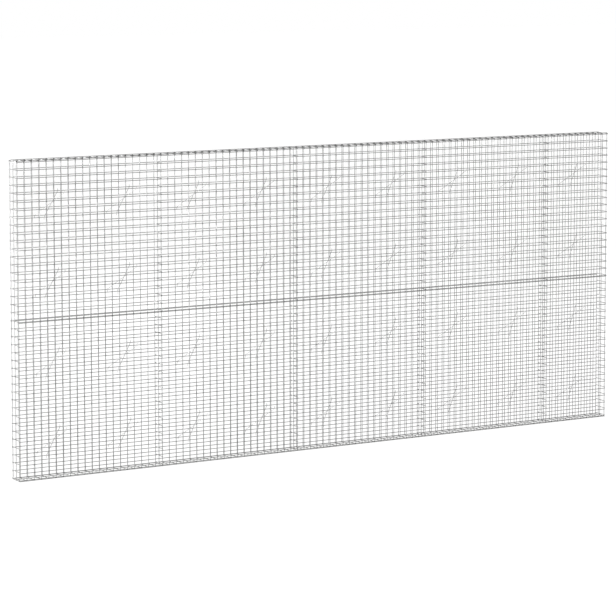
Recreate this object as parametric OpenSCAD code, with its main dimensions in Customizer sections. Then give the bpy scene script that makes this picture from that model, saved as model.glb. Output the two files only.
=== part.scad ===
// Free-standing gabion wall: an empty basket of welded steel mesh, waiting for its stones.
//
// Two upright faces of square mesh stand a hand's width apart round a mesh floor and a mesh
// lid. A mesh partition crosses from face to face at every bay line, and both ends are closed
// the same way. Pairs of crossed tie wires hook the two faces together against the push of
// the stones.
//
// X runs along the wall, Y is its depth with the front towards -Y, and Z is up. The origin is
// on the ground, in the middle of the wall's length and depth.

/* [Mesh] */
// Mesh cell, from wire centre to wire centre
cell = 50; // [40:1:80]
// Wire diameter
wire = 4; // [3:0.5:6]
// Depth by which crossing wires melt into each other at a weld
weld = 0.5; // [0.3:0.1:0.8]
// Clear gap between neighbouring panels, and round each hook
clearance = 0.3; // [0.2:0.1:0.5]

/* [Bays] */
// Number of full bays
full_bays = 4; // [1:1:4]
// Cells along a full bay
bay_cells = 20; // [10:2:30]
// Cells along the short bay at the right-hand end
end_bay_cells = 10; // [10:2:20]

/* [Height] */
// Cells up one tier; the wall has two tiers
tier_cells = 20; // [10:2:30]
// Clear gap between the edge wires of the two tiers
tier_gap = 1; // [0.5:0.5:3]

/* [Depth] */
// Cells through the wall
depth_cells = 2; // [2:1:4]

/* [Ties] */
// Tie wire diameter
tie_wire = 3; // [2.5:0.5:6]
// Cells from one tie to the next, along the wall and up it
tie_pitch_cells = 10; // [8:2:10]
// Cells from a tie's lower hook to its upper hook
tie_rise_cells = 3; // [2:1:4]
// Cells that a tie runs along the wall; an odd number brings its hooks to the middle of a cell
tie_run_cells = 3; // [1:2:5]
// Distance between the two wires of a crossed pair where they pass each other, along the wall
tie_pair_gap = 10; // [7:0.5:14]
// Length of the hook that stands behind the mesh wire
tie_hook = 16; // [10:1:30]

/* [Hidden] */
BAYS = full_bays + 1;

// Every second upright, cross wire and rung is a bar here, and every level wire of the faces.
strong = 2;
r = wire / 2;
step = wire - weld;          // from one layer of welded wires to the next

// Along the wall
length = (full_bays * bay_cells + end_bay_cells) * cell;
function bay_start(b) = -length / 2 + b * bay_cells * cell;
function cells_in(b) = b < full_bays ? bay_cells : end_bay_cells;

// Through the wall, as distances from its middle plane
inner_half = depth_cells * cell / 2;               // edge wires of floor, lid and partitions
upright_y = inner_half + wire + clearance;         // upright wires of the faces
level_y = upright_y + step;                        // level wires of the faces, outside them

// Up the wall
tier_height = tier_cells * cell;
tier_pitch = tier_height + wire + tier_gap;
function tier_z(t) = r + t * tier_pitch;           // lowest level wire of a tier
floor_top = wire + step;
partition_z = floor_top + clearance + r;           // lowest rung of a partition
partition_rungs = 2 * tier_cells;                  // the lid stands in for the highest rung
face_top = tier_z(1) + tier_height + r;            // ends of the upright wires
lid_cross_z = face_top + clearance + r;            // the lid's cross wires lie on them
partition_top = face_top;                          // ends of a partition's uprights, under the lid

zinc = "#b4b7b9";
zinc_dark = "#9da1a4";

// A straight wire from p to q, as a bar of four sides with a ridge on each axis
module bar(p, q, thick = wire) {
  d = q - p;
  len = norm(d);
  translate(p) rotate([0, acos(d.z / len), atan2(d.y, d.x)]) cylinder(h = len, d = thick, $fn = 4);
}

// A straight wire with flat sides, for what lies on the ground
module flat_bar_y(x, z, half) {
  translate([x - r, -half, z - r]) cube([wire, 2 * half, wire]);
}

// One bay of one tier of a face; side is -1 for the front and 1 for the back
module face_panel(b, t, side) {
  x0 = bay_start(b);
  n = cells_in(b);
  last = b == BAYS - 1;
  x1 = x0 + n * cell + (last ? r : -r);
  z0 = tier_z(t);
  color(zinc) union() {
    for (i = [0 : strong : last ? n : n - 1])
      bar([x0 + i * cell, side * upright_y, z0 - r], [x0 + i * cell, side * upright_y, z0 + tier_height + r]);
    for (j = [0 : tier_cells])
      bar([x0 - r, side * level_y, z0 + j * cell], [x1, side * level_y, z0 + j * cell]);
  }
}

// The long wires of one bay of the floor or the lid, over the given lines of cells
module long_wires(b, z, lines) {
  x0 = bay_start(b);
  last = b == BAYS - 1;
  x1 = x0 + cells_in(b) * cell + (last ? r : -r);
  for (k = lines)
    bar([x0 - r, k * cell - inner_half, z], [x1, k * cell - inner_half, z]);
}

module floor_panel(b) {
  n = cells_in(b);
  color(zinc) union() {
    long_wires(b, r + step, [0 : depth_cells]);
    for (i = [0 : strong : b == BAYS - 1 ? n : n - 1])
      flat_bar_y(bay_start(b) + i * cell, r, inner_half + r);
  }
}

// The lid's cross wires reach over both faces and rest on the ends of the upright wires of the
// faces and the partitions. Two long wires are welded on top of them, and none in the middle, so
// that the lid's cells are as wide as the wall is deep.
module lid_panel(b) {
  n = cells_in(b);
  color(zinc) union() {
    long_wires(b, lid_cross_z + step, [0, depth_cells]);
    for (i = [0 : strong : b == BAYS - 1 ? n : n - 1])
      flat_bar_y(bay_start(b) + i * cell, lid_cross_z, level_y + r);
  }
}

// A panel across the wall, from floor to lid; its rungs are welded on the side given
module cross_panel(x, side) {
  color(zinc) union() {
    for (k = [0 : depth_cells])
      bar([x, k * cell - inner_half, partition_z - r],
          [x, k * cell - inner_half, partition_top]);
    for (j = [0 : strong : partition_rungs - 1])
      bar([x + side * step, -inner_half - r, partition_z + j * cell],
          [x + side * step, inner_half + r, partition_z + j * cell]);
  }
}

// Ties. A tie lies over a level wire at its lower end and under one at its upper end, and is
// bent past it: down behind the lower wire, up behind the upper one. Its bend stands just far
// enough over or under the wire that the slanting stretch clears it.
tie_r = tie_wire / 2;
hook_reach = r + tie_r + clearance;
hook_y = level_y + hook_reach;
tie_rise = tie_rise_cells * cell;
tie_run = tie_run_cells * cell;
tie_slope = atan2(tie_rise, 2 * hook_y);
tie_corner = hook_reach * (1 - sin(tie_slope)) / cos(tie_slope);
tie_first = floor((tie_pitch_cells - tie_rise_cells) / 2);   // first level wire with a hook

// Along n cells there are as many ties as fit, centred, each on an upright wire
function tie_count(n) = floor(n / tie_pitch_cells);
function tie_margin(n) = floor((n - tie_count(n) * tie_pitch_cells) / 2);

// One tie: x is its middle, z its lower mesh wire, from the face on the lower side given
module tie(x, z, side) {
  low = [x - tie_run / 2, side * hook_y, z + tie_corner];
  high = [x + tie_run / 2, -side * hook_y, z + tie_rise - tie_corner];
  union() {
    bar(low, high, tie_wire);
    bar([low.x, low.y, low.z + tie_r], [low.x, low.y, z - tie_hook + tie_corner], tie_wire);
    bar([high.x, high.y, high.z - tie_r], [high.x, high.y, z + tie_rise + tie_hook - tie_corner], tie_wire);
  }
}

module ties(b) {
  color(zinc_dark)
  for (t = [0, 1], k = [0 : tie_count(tier_cells) - 1])
    for (i = [0 : tie_count(cells_in(b)) - 1]) {
      x = bay_start(b) + (tie_margin(cells_in(b)) + (i + 0.5) * tie_pitch_cells) * cell;
      z = tier_z(t) + (tie_margin(tier_cells) + k * tie_pitch_cells + tie_first) * cell;
      tie(x - tie_pair_gap / 2, z, 1);
      tie(x + tie_pair_gap / 2, z, -1);
    }
}

for (b = [0 : BAYS - 1]) {
  face_panel(b, 0, -1);
  face_panel(b, 1, -1);
  face_panel(b, 0, 1);
  face_panel(b, 1, 1);
  floor_panel(b);
  lid_panel(b);
  ties(b);
}
for (p = [1 : full_bays])
  cross_panel(bay_start(p), 1);
cross_panel(bay_start(0), -1);  // end_left
cross_panel(length / 2, 1);  // end_right
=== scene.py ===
# %% [markdown]
# # A gabion wall, before its stones
#
# A gabion is a basket of welded steel mesh. This one is a thin free-standing wall: two upright
# faces a hand's width apart, a mesh floor and lid, a mesh partition at every bay line, and
# crossed tie wires that stop the stones from pushing the faces apart. It is delivered and set
# up empty, and that is how it stands here.
#
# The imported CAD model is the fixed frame. It has the right sizes, but its wires are bars with
# four sides, and every second upright and cross wire is left out. Here each panel is made again
# from round wire at the true spacing, and stands where the CAD panel stands.

import math

import bmesh
import bpy
from mathutils import Matrix, Vector


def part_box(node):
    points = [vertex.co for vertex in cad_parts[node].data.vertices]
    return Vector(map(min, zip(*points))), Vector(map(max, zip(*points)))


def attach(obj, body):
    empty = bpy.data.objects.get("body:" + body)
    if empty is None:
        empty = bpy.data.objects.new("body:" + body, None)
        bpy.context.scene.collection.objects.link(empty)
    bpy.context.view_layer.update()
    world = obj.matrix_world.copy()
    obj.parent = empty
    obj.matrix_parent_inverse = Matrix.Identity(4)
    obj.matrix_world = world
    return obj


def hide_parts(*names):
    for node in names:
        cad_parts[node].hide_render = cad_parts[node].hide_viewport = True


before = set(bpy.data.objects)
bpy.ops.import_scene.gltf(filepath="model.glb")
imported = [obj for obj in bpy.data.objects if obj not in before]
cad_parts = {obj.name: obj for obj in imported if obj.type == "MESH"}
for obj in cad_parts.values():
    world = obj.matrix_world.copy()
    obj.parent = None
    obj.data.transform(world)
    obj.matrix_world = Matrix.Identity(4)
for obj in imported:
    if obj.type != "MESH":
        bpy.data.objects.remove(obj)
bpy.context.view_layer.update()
print("panels and ties in the frame:", len(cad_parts))

# %% [markdown]
# ## Sizes of the mesh
#
# Welded gabion mesh is sold by its cell and its wire. Nearly all the other sizes follow from these
# two: the wires of a panel lie in two layers, which melt half a millimetre into each other where
# they are welded. The ties are of thinner wire, so that they can be bent by hand. Blender works
# in metres, so the sizes are written in millimetres times MM.

# %% Cell, wire and weld
MM = 0.001
CELL = 50 * MM
WIRE = 4 * MM
TIE_WIRE = 3 * MM
RADIUS = WIRE / 2
WELD = 0.5 * MM
LAYER = WIRE - WELD            # from one layer of wires to the layer welded on it
RIM = 0.35 * MM                # rounding at the rim of a sheared end
SIDES = 12                     # of a round wire

BAY_CELLS = [20, 20, 20, 20, 10]
TIER_CELLS = 20
HALF_DEPTH = CELL              # from the middle of the wall to the edge wires of floor and lid

wall_left = -sum(BAY_CELLS) * CELL / 2
bay_left = [wall_left + sum(BAY_CELLS[:b]) * CELL for b in range(len(BAY_CELLS))]
print("bays start at", [round(x, 3) for x in bay_left])

# %% [markdown]
# ## Where each panel stands
#
# The heights and depths of the wires are read from the frame, from the boxes of the first CAD nodes
# of each kind, and the top of each partition from its own box. Where the bays start follows from
# their numbers of cells. The box ends at the outside of the wires, so the middle of an edge wire is
# one radius further in.

# %% Places of the wires, from the frame
lower_face, upper_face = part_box("front_lower_1"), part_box("front_upper_1")
upright_y = -lower_face[1].y - RADIUS            # uprights stand inside the level wires
level_y = -lower_face[0].y - RADIUS
tier_low = [lower_face[0].z + RADIUS, upper_face[0].z + RADIUS]

floor_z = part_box("floor_1")[0].z + RADIUS        # cross wires of the floor, the lowest of all
lid_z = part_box("lid_1")[0].z + RADIUS            # cross wires of the lid
partition_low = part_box("partition_1")[0].z + RADIUS
print("uprights at y", round(upright_y, 4), "level wires at y", round(level_y, 4),
      "tiers start at", [round(z, 4) for z in tier_low], "lid at", round(lid_z, 4))

# %% [markdown]
# ## Colours
#
# Colours are written as they look on a screen, as sRGB hex. Shaders add up light, so they need
# linear values, and this one function turns the first into the second.

# %% From sRGB hex to linear light
def linear(hex_colour):
    parts = [int(hex_colour[i:i + 2], 16) / 255 for i in (1, 3, 5)]
    return [c / 12.92 if c <= 0.04045 else ((c + 0.055) / 1.055) ** 2.4 for c in parts] + [1.0]


def add(tree, kind, settings=None, **links):
    """Adds a node. Settings are properties or socket values; links come from other sockets."""
    node = tree.nodes.new(kind)
    for name, value in (settings or {}).items():
        if name in node.inputs:
            node.inputs[name].default_value = value
        else:
            setattr(node, name, value)
    for name, socket in links.items():
        target = int(name[1:]) if name[0] == "_" else name.replace("_", " ")
        tree.links.new(socket, node.inputs[target])
    return node


def new_material(name):
    material = bpy.data.materials.new(name)
    material.use_nodes = True
    material.node_tree.nodes.clear()
    return material, material.node_tree


# %% [markdown]
# ## Galvanised wire
#
# Mesh wire is drawn steel that has been through a bath of molten zinc and wiped while wet. Zinc
# wiped like this has no large spangles. To the eye it is a soft, plain grey metal with a satin
# sheen, in patches a little darker and duller where the zinc has begun to weather, and its
# surface is finely rippled. The patches are as long as a hand, so their pattern repeats about
# every 120 mm. The ripple is a few millimetres across.

# %% Galvanised wire
def galvanised_wire(name, bright, dull, roughness_low, roughness_high):
    material, tree = new_material(name)
    place = add(tree, "ShaderNodeTexCoord").outputs["Object"]
    patches = add(tree, "ShaderNodeTexNoise",
                  {"Scale": 1 / (120 * MM), "Detail": 3.0, "Roughness": 0.55}, Vector=place)
    ripple = add(tree, "ShaderNodeTexNoise", {"Scale": 1 / (3 * MM), "Detail": 2.0}, Vector=place)
    weathered = add(tree, "ShaderNodeMapRange", {"From Min": 0.35, "From Max": 0.68},
                    Value=patches.outputs["Fac"])
    colour = add(tree, "ShaderNodeMix", {"data_type": "RGBA"}, _0=weathered.outputs["Result"])
    colour.inputs[6].default_value = linear(bright)
    colour.inputs[7].default_value = linear(dull)
    roughness = add(tree, "ShaderNodeMapRange",
                    {"From Min": 0.3, "From Max": 0.7, "To Min": roughness_low,
                     "To Max": roughness_high}, Value=patches.outputs["Fac"])
    bump = add(tree, "ShaderNodeBump", {"Strength": 0.35, "Distance": 0.12 * MM},
               Height=ripple.outputs["Fac"])
    surface = add(tree, "ShaderNodeBsdfPrincipled", {"Metallic": 1.0},
                  Base_Color=colour.outputs[2], Roughness=roughness.outputs["Result"],
                  Normal=bump.outputs["Normal"])
    add(tree, "ShaderNodeOutputMaterial", Surface=surface.outputs["BSDF"])
    return material


mesh_zinc = galvanised_wire("galvanised mesh wire", "#8a8a8a", "#7a7a7a", 0.32, 0.52)
# The ties are the same zinc as the mesh wire. Their paler grey is a painted sheen: it stands in for
# the light that the slanting ties catch from the lamps.
tie_zinc_painted_paler = galvanised_wire("galvanised tie wire, painted paler", "#b8b8b8", "#a8a8a8", 0.5, 0.7)
print("wire finishes:", mesh_zinc.name, "and", tie_zinc_painted_paler.name)

# %% [markdown]
# ## Welds and cut ends
#
# Where two wires cross, a pulse of current melts them together. The heat burns a little of the
# zinc away, and the squeezed-out metal stays as a small dull collar, darker than the wire. The
# ends of the wires are sheared after galvanising: each end is a tiny disc of bare grey steel,
# a touch warmer than the zinc, and more matt.

# %% Weld metal and sheared ends
def plain_metal(name, pale, dark, roughness, grain_mm):
    material, tree = new_material(name)
    place = add(tree, "ShaderNodeTexCoord").outputs["Object"]
    grain = add(tree, "ShaderNodeTexNoise", {"Scale": 1 / (grain_mm * MM), "Detail": 2.0},
                Vector=place)
    colour = add(tree, "ShaderNodeMix", {"data_type": "RGBA"}, _0=grain.outputs["Fac"])
    colour.inputs[6].default_value = linear(pale)
    colour.inputs[7].default_value = linear(dark)
    bump = add(tree, "ShaderNodeBump", {"Strength": 0.5, "Distance": 0.15 * MM},
               Height=grain.outputs["Fac"])
    surface = add(tree, "ShaderNodeBsdfPrincipled", {"Metallic": 1.0, "Roughness": roughness},
                  Base_Color=colour.outputs[2], Normal=bump.outputs["Normal"])
    add(tree, "ShaderNodeOutputMaterial", Surface=surface.outputs["BSDF"])
    return material


weld_metal = plain_metal("weld metal, zinc burnt off", "#8a8a8a", "#767676", 0.6, 1.5)
sheared_steel = plain_metal("sheared wire end", "#8f8e8d", "#757372", 0.55, 1.0)
FINISHES = [mesh_zinc, weld_metal, sheared_steel]
ZINC, WELDED, SHEARED = 0, 1, 2
print("finishes of a panel:", [m.name for m in FINISHES])

# %% [markdown]
# ## One straight wire
#
# A wire is a cylinder with twelve sides: enough for a round outline a few millimetres wide. It
# could be a curve with a bevel, but a cone operator gives a closed mesh at once, and its ends
# can be bevelled. A shear leaves the rim of the cut slightly rounded, so the two rims get a small
# bevel. The rims are marked sharp where they meet the side: the side's faces are as long as the
# wire, and smooth shading across a rim would spread the rim's slope along the whole wire.

# %% A straight wire
def turned_to(direction, at):
    """The matrix that turns a shape's Z axis to a direction and moves it to a point."""
    return Matrix.Translation(at) @ direction.to_track_quat("Z", "Y").to_matrix().to_4x4()


def straight_wire(bm, start, end):
    """Adds a closed round wire from start to end, and returns its vertices."""
    start, end = Vector(start), Vector(end)
    along = end - start
    place = turned_to(along, (start + end) / 2)
    made = bmesh.ops.create_cone(bm, cap_ends=True, cap_tris=False, segments=SIDES,
                                 radius1=RADIUS, radius2=RADIUS, depth=along.length, matrix=place)
    caps = [f for f in {f for v in made["verts"] for f in v.link_faces} if len(f.verts) == SIDES]
    rims = [e for f in caps for e in f.edges]
    bevelled = bmesh.ops.bevel(bm, geom=rims, offset=RIM, offset_type="OFFSET", segments=1,
                               profile=0.5, affect="EDGES", material=-1)
    faces = {f for v in bevelled["verts"] for f in v.link_faces}
    for face in faces:
        face.smooth = len(face.verts) != SIDES
        face.material_index = ZINC if face.smooth else SHEARED
        if face.smooth and max(e.calc_length() for e in face.edges) > 2 * WIRE:
            for edge in face.edges:
                if edge.calc_length() < WIRE:
                    edge.smooth = False
    return list({v for f in faces for v in f.verts})


# %% [markdown]
# ## One weld
#
# The collar of a weld is a small flattened ball in the notch between the two wires. It is made
# from a sphere with few faces, because there are nearly nine thousand of them in the wall.

# %% A weld between two crossing wires
COLLAR_RADIUS = 2.1 * MM
COLLAR_HALF_HEIGHT = 0.95 * MM


def weld(bm, at, through):
    """Adds the collar of a weld at a point. through is the direction from one wire to the other."""
    squash = Matrix.Diagonal((COLLAR_RADIUS, COLLAR_RADIUS, COLLAR_HALF_HEIGHT, 1))
    place = turned_to(Vector(through), Vector(at)) @ squash
    made = bmesh.ops.create_uvsphere(bm, u_segments=8, v_segments=3, radius=1, matrix=place)
    for face in {f for v in made["verts"] for f in v.link_faces}:
        face.smooth = True
        face.material_index = WELDED
    return made["verts"]


# %% [markdown]
# ## Repeating along a line
#
# Welded mesh is made row by row: one cross wire with all its welds, then the same again one cell
# further on. The spin operator does that when its angle is nought and it moves by a step and
# copies at each step.

# %% Copy a row of wires
def repeat(bm, verts, step, times):
    """Copies the parts that verts belong to, each copy one step further."""
    if times < 1:
        return
    row = list(verts)
    row += list({e for v in verts for e in v.link_edges})
    row += list({f for v in verts for f in v.link_faces})
    bmesh.ops.spin(bm, geom=row, cent=(0, 0, 0), axis=(0, 0, 1), dvec=step, angle=0,
                   space=Matrix.Identity(4), steps=times, use_duplicate=True)


def finish_piece(bm, name, node, finishes):
    """Turns a bmesh into an object that stands for one CAD node."""
    mesh = bpy.data.meshes.new(name)
    bm.to_mesh(mesh)
    bm.free()
    for finish in finishes:
        mesh.materials.append(finish)
    piece = bpy.data.objects.new(name, mesh)
    bpy.context.collection.objects.link(piece)
    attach(piece, "root")
    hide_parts(node)
    return piece


# %% [markdown]
# ## Faces
#
# Each face is made of ten panels: five bays long and two tiers high. The level wires lie on the
# outside, and the uprights are welded to them from within, as on the real wall, where the stones
# press the uprights against the level wires. A panel has no upright at its right-hand end,
# because the next panel's first upright closes it. Only the last panel has both.

# %% Face panels
def face_panel(node, bay, tier, side):
    bm = bmesh.new()
    left, cells = bay_left[bay], BAY_CELLS[bay]
    last = bay == len(BAY_CELLS) - 1
    bottom = tier_low[tier]
    top = bottom + TIER_CELLS * CELL
    upright = straight_wire(bm, (left, side * upright_y, bottom - RADIUS),
                            (left, side * upright_y, top + RADIUS))
    between = side * (upright_y + level_y) / 2
    for j in range(TIER_CELLS + 1):
        upright += weld(bm, (left, between, bottom + j * CELL), (0, 1, 0))
    repeat(bm, upright, (CELL, 0, 0), cells - 1 + last)
    right = left + cells * CELL + (RADIUS if last else -RADIUS)
    level = straight_wire(bm, (left - RADIUS, side * level_y, bottom),
                          (right, side * level_y, bottom))
    repeat(bm, level, (0, 0, CELL), TIER_CELLS)
    return finish_piece(bm, node + "_wires", node, FINISHES)


for side, face in ((-1, "front"), (1, "back")):
    for tier, tier_name in enumerate(("lower", "upper")):
        for bay in range(len(BAY_CELLS)):
            piece = face_panel(f"{face}_{tier_name}_{bay + 1}", bay, tier, side)
print("a face panel has", len(piece.data.polygons), "faces in the short bay")

# %% [markdown]
# ## Floor and lid
#
# The floor lies on the ground between the faces: three long wires on top of cross wires, two
# cells wide. The lid lies on top of the wall. Its cross wires reach over both faces and rest on
# the ends of their uprights. It has two long wires welded on top of them and none in the
# middle: over so short a span the cross wires are stiff enough without one. Its cells are 50 mm
# by 100 mm, still too narrow for the stones of the fill, so those go in before the lid is on.

# %% Floor and lid panels
def flat_panel(node, bay, z, reach, lines):
    """Cross wires at height z, and long wires on top of them. lines are counted in cells."""
    bm = bmesh.new()
    left, cells = bay_left[bay], BAY_CELLS[bay]
    last = bay == len(BAY_CELLS) - 1
    across = straight_wire(bm, (left, -reach, z), (left, reach, z))
    for line in lines:
        across += weld(bm, (left, line * CELL, z + LAYER / 2), (0, 0, 1))
    repeat(bm, across, (CELL, 0, 0), cells - 1 + last)
    right = left + cells * CELL + (RADIUS if last else -RADIUS)
    for line in lines:
        straight_wire(bm, (left - RADIUS, line * CELL, z + LAYER), (right, line * CELL, z + LAYER))
    return finish_piece(bm, node + "_wires", node, FINISHES)


for bay in range(len(BAY_CELLS)):
    flat_panel(f"floor_{bay + 1}", bay, floor_z, HALF_DEPTH + RADIUS, (-1, 0, 1))
    piece = flat_panel(f"lid_{bay + 1}", bay, lid_z, level_y + RADIUS, (-1, 1))
print("the last lid panel has", len(piece.data.polygons), "faces")

# %% [markdown]
# ## Partitions and ends
#
# A partition is a ladder two cells wide that closes the wall from face to face, over both tiers.
# Its rungs are welded on one side of its three uprights. It has no rung at its top, because a
# cross wire of the lid lies there.

# %% Partitions and end panels
def cross_panel(node, x, side):
    bm = bmesh.new()
    rungs = 2 * TIER_CELLS
    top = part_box(node)[1].z
    upright = straight_wire(bm, (x, -HALF_DEPTH, partition_low - RADIUS), (x, -HALF_DEPTH, top))
    repeat(bm, upright, (0, HALF_DEPTH, 0), 2)
    rung_x = x + side * LAYER
    reach = HALF_DEPTH + RADIUS
    rung = straight_wire(bm, (rung_x, -reach, partition_low), (rung_x, reach, partition_low))
    for k in (-1, 0, 1):
        rung += weld(bm, (x + side * LAYER / 2, k * HALF_DEPTH, partition_low), (1, 0, 0))
    repeat(bm, rung, (0, 0, CELL), rungs - 1)
    return finish_piece(bm, node + "_wires", node, FINISHES)


for number in range(1, len(BAY_CELLS)):
    cross_panel(f"partition_{number}", bay_left[number], 1)
cross_panel("end_left", wall_left, -1)
piece = cross_panel("end_right", -wall_left, 1)
print("an end panel has", len(piece.data.polygons), "faces")

# %% [markdown]
# ## Tie wires
#
# The ties are straight wires with both ends bent over, hooked behind the level wires of the two
# faces. They slant, so each one holds a low wire of one face and a high wire of the other, and
# every place has a pair that cross. A bend in real wire is an arc about as tight as the wire
# is thick. The wire is a ring of twelve points that is spun round each bend and pushed along each
# straight stretch, which keeps it one closed tube.

# %% A bent wire
BEND_STEPS = 6


def turned(bm, ring, centre, axis, angle):
    """Spins the open end of a wire round a bend, and returns the new end."""
    made = bmesh.ops.spin(bm, geom=ring, cent=centre, axis=axis, dvec=(0, 0, 0), angle=angle,
                          space=Matrix.Identity(4), steps=BEND_STEPS, use_duplicate=False)
    return made["geom_last"]


def pushed(bm, ring, by):
    """Pushes the open end of a wire straight on, and returns the new end."""
    edges = [g for g in ring if isinstance(g, bmesh.types.BMEdge)]
    made = bmesh.ops.extrude_edge_only(bm, edges=edges)["geom"]
    verts = [g for g in made if isinstance(g, bmesh.types.BMVert)]
    bmesh.ops.translate(bm, verts=verts, vec=by)
    return [g for g in made if isinstance(g, (bmesh.types.BMVert, bmesh.types.BMEdge))
            and all(v in verts for v in (g.verts if isinstance(g, bmesh.types.BMEdge) else [g]))]


def tie_wire(bm, path, bend):
    """Adds a closed wire that follows the corners of a path, with an arc of radius bend at each."""
    path = [Vector(p) for p in path]
    ahead = (path[1] - path[0]).normalized()
    place = turned_to(ahead, path[0])
    first = bmesh.ops.create_circle(bm, cap_ends=False, segments=SIDES, radius=TIE_WIRE / 2,
                                    matrix=place)["verts"]
    ring = list(first) + list({e for v in first for e in v.link_edges})
    at = path[0]
    for corner, beyond in zip(path[1:-1], path[2:]):
        next_way = (beyond - corner).normalized()
        axis = ahead.cross(next_way).normalized()
        angle = ahead.angle(next_way)
        setback = bend * math.tan(angle / 2)
        arc_start = corner - ahead * setback
        ring = pushed(bm, ring, arc_start - at)
        centre = arc_start + axis.cross(ahead) * bend
        ring = turned(bm, ring, centre, axis, angle)
        at, ahead = corner + next_way * setback, next_way
    pushed(bm, ring, path[-1] - at)


def close_ends(bm):
    """Caps the open ends of wires with discs, rounds their rims, and turns all faces outwards."""
    open_edges = [e for e in bm.edges if e.is_boundary]
    caps = bmesh.ops.holes_fill(bm, edges=open_edges, sides=SIDES)["faces"]
    rims = [e for f in caps for e in f.edges]
    for face in bm.faces:
        face.smooth = True
    bmesh.ops.bevel(bm, geom=rims, offset=RIM, offset_type="OFFSET", segments=1,
                    profile=0.5, affect="EDGES", material=-1)
    for face in bm.faces:
        if len(face.verts) == SIDES:
            face.smooth = False
            face.material_index = 1
    bmesh.ops.recalc_face_normals(bm, faces=bm.faces)


# %% [markdown]
# ## Where the ties go
#
# There is a pair every ten cells along the wall and every ten cells up it. Each tie spans three
# cells up and three cells along, and starts three cells above the lowest wire of its square of
# ten. The two wires of a pair stand five millimetres to either side of its middle, so that they
# pass each other with a gap. How far the hooks reach comes from the box of the ties in the frame.

# %% Tie wires, bay by bay
TIE_CELLS, SPAN_CELLS = 10, 3
PAIR_GAP = 10 * MM
CLEARANCE = 0.3 * MM
span = SPAN_CELLS * CELL
hook_reach = (WIRE + TIE_WIRE) / 2 + CLEARANCE      # from a level wire to a hook, middle to middle
hook_y = level_y + hook_reach
slope = math.atan2(span, 2 * hook_y)
corner_rise = hook_reach * (1 - math.sin(slope)) / math.cos(slope)
hook_tail = tier_low[0] + span + corner_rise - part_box("ties_1")[0].z


def tie(bm, x, z, side):
    foot = Vector((x - span / 2, side * hook_y, z + corner_rise))
    head = Vector((x + span / 2, -side * hook_y, z + span - corner_rise))
    tail = Vector((0, 0, hook_tail))
    tie_wire(bm, [foot - tail, foot, head, head + tail], bend=TIE_WIRE)


for bay, cells in enumerate(BAY_CELLS):
    bm = bmesh.new()
    for bottom in tier_low:
        for row in range(TIER_CELLS // TIE_CELLS):
            for column in range(cells // TIE_CELLS):
                x = bay_left[bay] + (column + 0.5) * TIE_CELLS * CELL
                z = bottom + (row * TIE_CELLS + SPAN_CELLS) * CELL
                tie(bm, x - PAIR_GAP / 2, z, 1)
                tie(bm, x + PAIR_GAP / 2, z, -1)
    close_ends(bm)
    piece = finish_piece(bm, f"ties_{bay + 1}_wires", f"ties_{bay + 1}",
                         [tie_zinc_painted_paler, sheared_steel])
print("a hook's tail is", round(hook_tail / MM, 1), "mm long")

# %% [markdown]
# ## Stage
#
# The wall stands on a plain white studio floor. For the camera and for reflections most of the
# floor's colour is a white glow and the rest is matt paint, so that it reaches white where
# nothing shades it and still shows the wall's soft shadow. The surroundings are white as well.
# In reflections their ceiling is darker, which draws the grey line along the top of each wire.

# %% Floor and surroundings
def seen_directly(tree):
    """1 for the camera's rays and for rays in reflections or through glass, and 0 for lighting."""
    path = add(tree, "ShaderNodeLightPath").outputs
    bounced = add(tree, "ShaderNodeMath", {"operation": "MAXIMUM"}, _0=path["Is Glossy Ray"],
                  _1=path["Is Transmission Ray"])
    return add(tree, "ShaderNodeMath", {"operation": "MAXIMUM"}, _0=path["Is Camera Ray"],
               _1=bounced.outputs[0]).outputs[0]


GLOW = 1.12                    # a little over white, to make up for the share that is paint
GLOW_SHARE = 0.85
AMBIENT = 0.55                 # strength of the surroundings as a light
CEILING = 0.25                 # strength of the ceiling in reflections

floor_paint, tree = new_material("studio floor")
matt = add(tree, "ShaderNodeBsdfDiffuse", {"Color": linear("#e9e9e9")})
glow = add(tree, "ShaderNodeEmission", {"Color": (1, 1, 1, 1), "Strength": GLOW})
share = add(tree, "ShaderNodeMath", {"operation": "MULTIPLY"}, _0=seen_directly(tree))
share.inputs[1].default_value = GLOW_SHARE
both = add(tree, "ShaderNodeMixShader", _0=share.outputs[0], _1=matt.outputs[0], _2=glow.outputs[0])
add(tree, "ShaderNodeOutputMaterial", Surface=both.outputs[0])

bm = bmesh.new()
bmesh.ops.create_grid(bm, x_segments=1, y_segments=1, size=60)
ground = bpy.data.meshes.new("studio floor")
bm.to_mesh(ground)
bm.free()
ground.materials.append(floor_paint)
studio_floor = bpy.data.objects.new("studio_floor", ground)
studio_floor.location.z = -0.5 * MM      # so that floor and wires don't lie in one plane
bpy.context.collection.objects.link(studio_floor)

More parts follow.
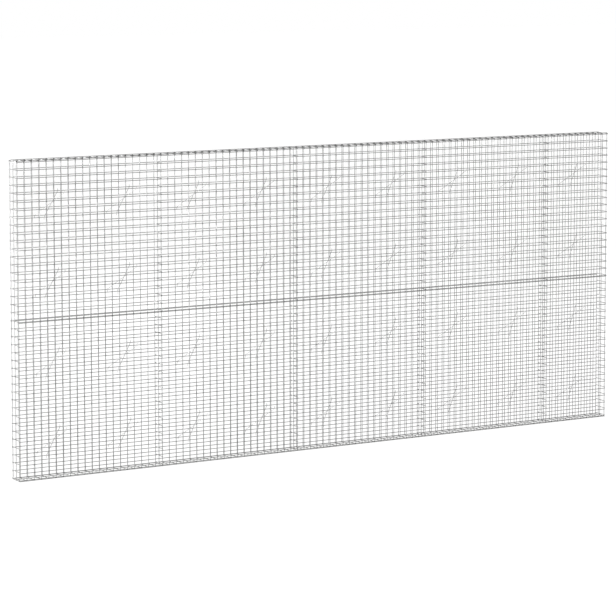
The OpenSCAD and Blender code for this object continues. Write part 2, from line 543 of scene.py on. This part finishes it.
world = bpy.data.worlds.new("white studio")
bpy.context.scene.world = world
world.use_nodes = True
tree = world.node_tree
tree.nodes.clear()
direction = add(tree, "ShaderNodeTexCoord").outputs["Generated"]
way_out = add(tree, "ShaderNodeSeparateXYZ", Vector=direction)
ceiling = add(tree, "ShaderNodeMapRange",
              {"From Min": 0.2, "From Max": 0.75, "To Min": 1.0, "To Max": CEILING},
              Value=way_out.outputs["Z"])
strength = add(tree, "ShaderNodeMapRange", {"To Min": AMBIENT}, Value=seen_directly(tree))
tree.links.new(ceiling.outputs["Result"], strength.inputs["To Max"])
sky = add(tree, "ShaderNodeBackground", {"Color": (1, 1, 1, 1)}, Strength=strength.outputs["Result"])
add(tree, "ShaderNodeOutputWorld", Surface=sky.outputs[0])

# %% [markdown]
# ## Light
#
# Round wire shows a lamp only as a thin bright line along it, and only from some directions, so
# each lamp brightens the wires of one direction. The key lamp stands far out in front of the
# wall's left end and hardly higher than its middle, as broad as a studio softbox. Its line falls
# on the uprights and misses the level wires, which stay darker and lead the eye along the wall.
# A second lamp behind the wall, above it, does the same for the wires that run through the wall
# and for the ties.

# %% Two soft lamps
def soft_lamp(name, place, aim, width, height, watts):
    lamp = bpy.data.lights.new(name, "AREA")
    lamp.shape = "RECTANGLE"
    lamp.size, lamp.size_y = width, height
    lamp.energy = watts
    lamp.spread = math.radians(100)
    stand = bpy.data.objects.new(name, lamp)
    stand.location = place
    stand.rotation_euler = (Vector(aim) - stand.location).to_track_quat("-Z", "Y").to_euler()
    stand.visible_camera = False
    bpy.context.collection.objects.link(stand)


WALL_MIDDLE = (0, 0, 1.0)
soft_lamp("soft_key", (-13.0, -6.0, 1.8), WALL_MIDDLE, 5.0, 3.4, 800)
soft_lamp("soft_back", (-1.4, 12.1, 6.9), WALL_MIDDLE, 5.0, 3.4, 380)

# %% [markdown]
# ## Camera
#
# The camera stands fifteen metres in front of the wall and to its left, a little above its top,
# with a long lens. It looks slightly down. A small vertical shift takes out part of the lean that
# this gives the uprights.

# %% Camera
lens_mm, down, towards_right, roll = 156.305, 5.56, 29.847, 0.04
eye = bpy.data.cameras.new("camera")
eye.lens = lens_mm
eye.sensor_width = 36
eye.shift_y = -0.2
eye.clip_end = 300
camera = bpy.data.objects.new("camera", eye)
camera.location = (-8.88493, -15.24437, 3.47178)
camera.rotation_euler = (math.radians(90 - down), math.radians(roll), math.radians(-towards_right))
bpy.context.collection.objects.link(camera)
bpy.context.scene.camera = camera
bpy.context.scene.view_settings.view_transform = "Standard"
